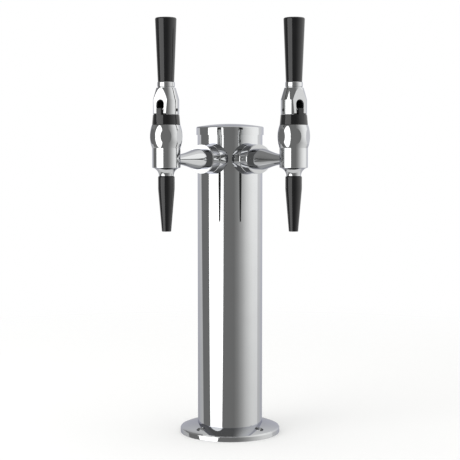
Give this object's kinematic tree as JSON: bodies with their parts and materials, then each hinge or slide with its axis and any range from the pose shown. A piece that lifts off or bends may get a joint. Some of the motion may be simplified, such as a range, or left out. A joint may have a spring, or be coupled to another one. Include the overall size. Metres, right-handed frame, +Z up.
{
  "type": "coffee dispensing tower",
  "caption": "Polished steel column tower on a round bolt-down flange, with splayed arms carrying black-handled slow-pour faucets whose levers lift valve stems.",
  "frame": {"origin": "on the counter, under the middle of the column", "axes": "+Z up the column, -Y towards the person who pours, +X to that person's right"},
  "size_m": [0.1732, 0.1881, 0.4775],
  "materials": {
    "polished_steel": "mirror-polished stainless steel",
    "black_plastic": "satin black moulded plastic",
    "rubber": "matt black rubber",
    "white_plastic": "natural moulded nylon"
  },
  "bodies": {
    "tower": {"base_flange": "polished_steel", "column": "polished_steel", "left_shank": "polished_steel", "left_shank_collar": "polished_steel", "left_saddle_washer": "white_plastic", "left_shank_nut": "polished_steel", "left_drop_tube": "polished_steel", "left_coupling_nut": "polished_steel", "left_keeper_ring": "polished_steel", "left_tail_gasket": "rubber", "left_faucet_body": "polished_steel", "left_guide_collar": "black_plastic", "left_stem_packing": "rubber", "left_spout_seal": "rubber", "left_restrictor_disc": "polished_steel", "left_flow_straightener": "white_plastic", "left_spout": "black_plastic", "right_shank": "polished_steel", "right_shank_collar": "polished_steel", "right_saddle_washer": "white_plastic", "right_shank_nut": "polished_steel", "right_drop_tube": "polished_steel", "right_coupling_nut": "polished_steel", "right_keeper_ring": "polished_steel", "right_tail_gasket": "rubber", "right_faucet_body": "polished_steel", "right_guide_collar": "black_plastic", "right_stem_packing": "rubber", "right_spout_seal": "rubber", "right_restrictor_disc": "polished_steel", "right_flow_straightener": "white_plastic", "right_spout": "black_plastic"},
    "cap": {"top_cap": "polished_steel", "cap_ring": "rubber"},
    "left_stem": {"left_valve_stem": "polished_steel", "left_seat_washer": "rubber"},
    "left_lever": {"left_lever_bonnet": "polished_steel", "left_window_liner": "black_plastic", "left_pivot_pin": "polished_steel", "left_ferrule": "polished_steel", "left_handle_stud": "polished_steel", "left_handle": "black_plastic"},
    "right_stem": {"right_valve_stem": "polished_steel", "right_seat_washer": "rubber"},
    "right_lever": {"right_lever_bonnet": "polished_steel", "right_window_liner": "black_plastic", "right_pivot_pin": "polished_steel", "right_ferrule": "polished_steel", "right_handle_stud": "polished_steel", "right_handle": "black_plastic"}
  },
  "joints": [
    {"name": "cap_lift", "type": "slide", "parent": "tower", "child": "cap", "axis": [0, 0, 1], "range_m": [0, 0.03]},
    {"name": "left_stem_lift", "type": "slide", "parent": "tower", "child": "left_stem", "axis": [0, 0, 1], "range_m": [0, 0.00602]},
    {"name": "left_lever_tilt", "type": "hinge", "parent": "left_stem", "child": "left_lever", "pos_m": [-0.06907, -0.11272, 0.3776], "axis": [0.8526, -0.5225, 0], "range_deg": [0, 30]},
    {"name": "right_stem_lift", "type": "slide", "parent": "tower", "child": "right_stem", "axis": [0, 0, 1], "range_m": [0, 0.00602]},
    {"name": "right_lever_tilt", "type": "hinge", "parent": "right_stem", "child": "right_lever", "pos_m": [0.06907, -0.11272, 0.3776], "axis": [0.8526, 0.5225, 0], "range_deg": [0, 30]}
  ],
  "couplings": [
    {"joint": "left_stem_lift", "follows": "left_lever_tilt", "m_per_rad": 0.0115},
    {"joint": "right_stem_lift", "follows": "right_lever_tilt", "m_per_rad": 0.0115}
  ]
}
